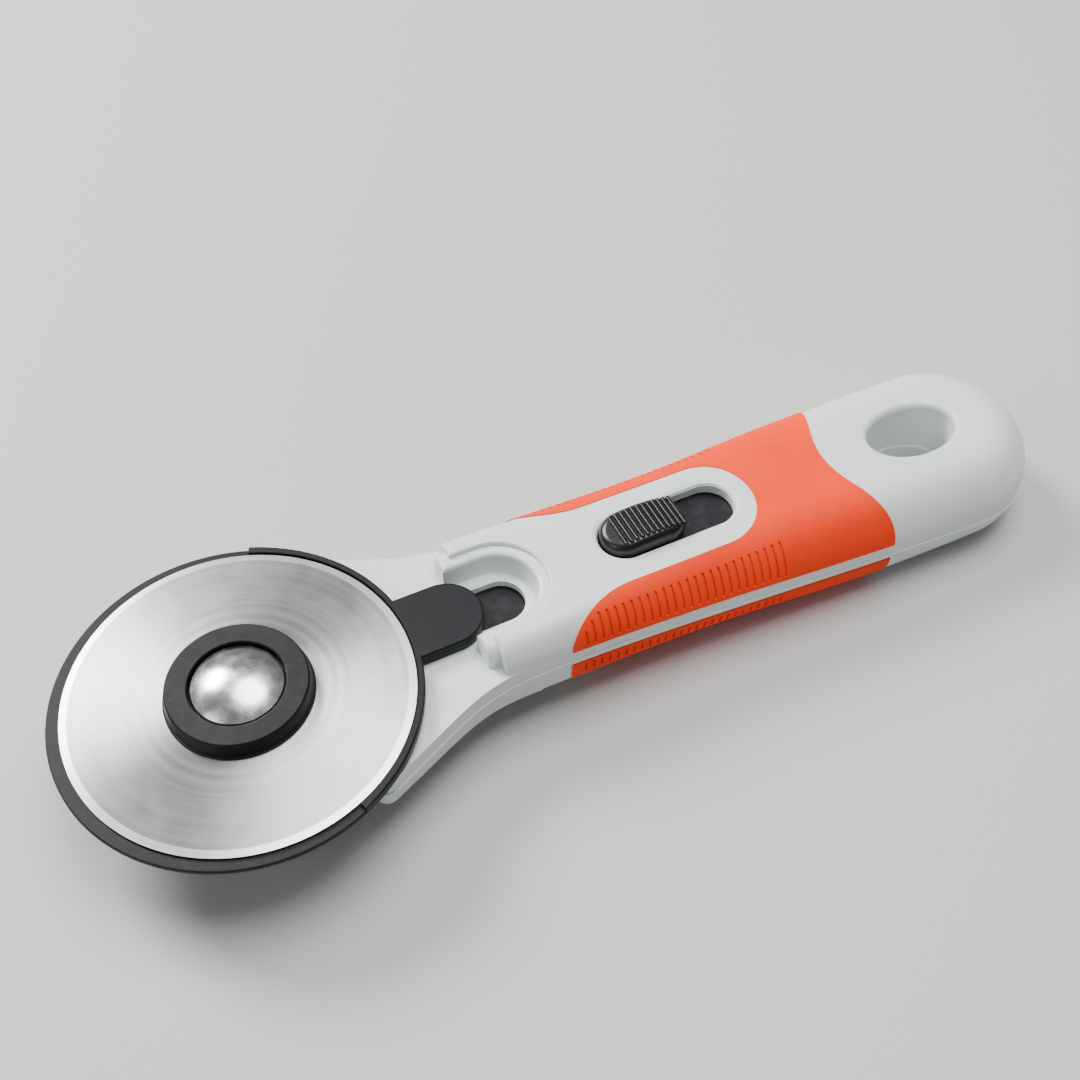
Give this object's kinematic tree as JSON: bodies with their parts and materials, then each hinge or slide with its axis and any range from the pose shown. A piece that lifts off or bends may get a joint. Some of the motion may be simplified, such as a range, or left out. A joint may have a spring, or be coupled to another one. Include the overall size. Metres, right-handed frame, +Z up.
{
  "type": "rotary cutter",
  "caption": "Hand-held rotary cutter: round steel blade, sliding guard worked by a thumb button, contoured handle with soft grips and a hanging hole.",
  "frame": {"origin": "under the middle of the whole cutter, on the surface that it lies on", "axes": "+X along the handle towards the hanging hole, +Y across it, +Z up, out of the blade's face"},
  "size_m": [0.1985, 0.0636, 0.0254],
  "materials": {
    "shell_plastic": "satin moulded",
    "grip_rubber": "soft matte",
    "blade_steel": "fine ground",
    "black_plastic": "matte moulded",
    "button_plastic": "semi-gloss moulded",
    "bolt_chrome": "polished",
    "screw_steel": "zinc plated",
    "insert_brass": "turned"
  },
  "bodies": {
    "handle": {"front_shell": "shell_plastic", "back_shell": "shell_plastic", "front_grip": "grip_rubber", "back_grip": "grip_rubber", "cap_ring": "black_plastic", "blade_bolt": "bolt_chrome", "axle_bush": "screw_steel", "spring_washer": "screw_steel", "detent_spring": "screw_steel", "shell_screw_1": "screw_steel", "shell_screw_2": "screw_steel", "shell_screw_3": "screw_steel"},
    "blade_disc": {"blade": "blade_steel"},
    "guard_slider": {"blade_guard": "black_plastic", "guard_screw": "screw_steel", "slide_bar": "black_plastic", "thumb_button": "button_plastic"},
    "back_nut": {"lock_nut": "black_plastic", "nut_insert": "insert_brass"}
  },
  "joints": [
    {"name": "guard_slide", "type": "slide", "parent": "handle", "child": "guard_slider", "axis": [1, 0, 0], "range_m": [0, 0.01], "deforming": ["detent_spring"]},
    {"name": "blade_spin", "type": "hinge", "parent": "handle", "child": "blade_disc", "pos_m": [-0.06673, 0, 0.0193], "axis": [0, 0, 1], "continuous": true},
    {"name": "nut_turn", "type": "hinge", "parent": "handle", "child": "back_nut", "pos_m": [-0.06673, 0, 0.004], "axis": [0, 0, 1], "continuous": true}
  ]
}
